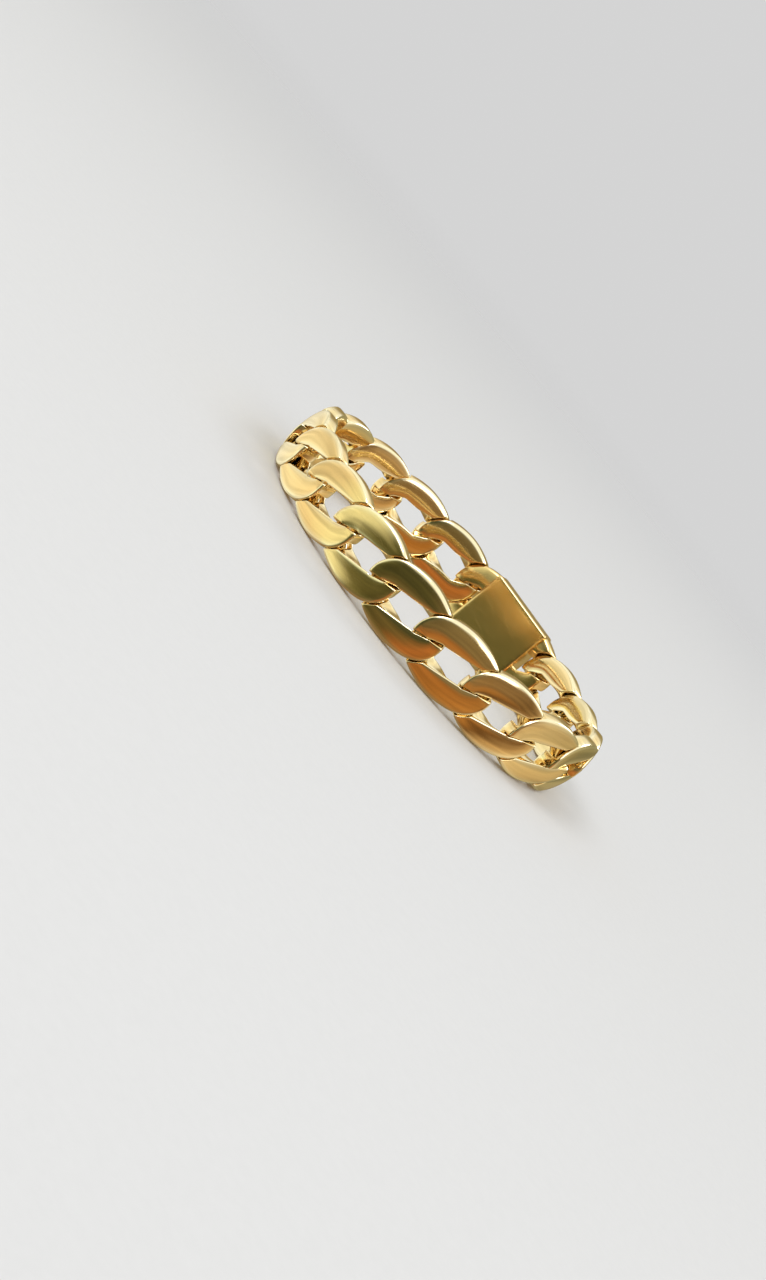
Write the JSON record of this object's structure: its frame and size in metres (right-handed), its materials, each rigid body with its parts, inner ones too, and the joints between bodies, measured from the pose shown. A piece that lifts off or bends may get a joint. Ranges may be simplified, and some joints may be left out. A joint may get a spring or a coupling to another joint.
{
  "type": "curb link chain bracelet",
  "caption": "Flat curb chain bracelet closed in a worn oval: interlocked, domed oval links of polished gold-toned metal and a plain box clasp at the back.",
  "frame": {"origin": "middle of the hollow that the wrist passes through, half way across the band", "axes": "+Z along the wrist, across the band; +X the long way of the worn oval; +Y towards the clasp at the back, so -Y is the front that shows"},
  "size_m": [0.0742, 0.0618, 0.012],
  "materials": {
    "gold": "gold-plated brass, polished"
  },
  "bodies": {
    "root": {"clasp": "gold", "link_01": "gold", "link_02": "gold", "link_03": "gold", "link_04": "gold", "link_05": "gold", "link_06": "gold", "link_07": "gold", "link_08": "gold", "link_09": "gold", "link_10": "gold", "link_11": "gold", "link_12": "gold", "link_13": "gold", "link_14": "gold", "link_15": "gold", "link_16": "gold", "link_17": "gold"}
  },
  "joints": []
}
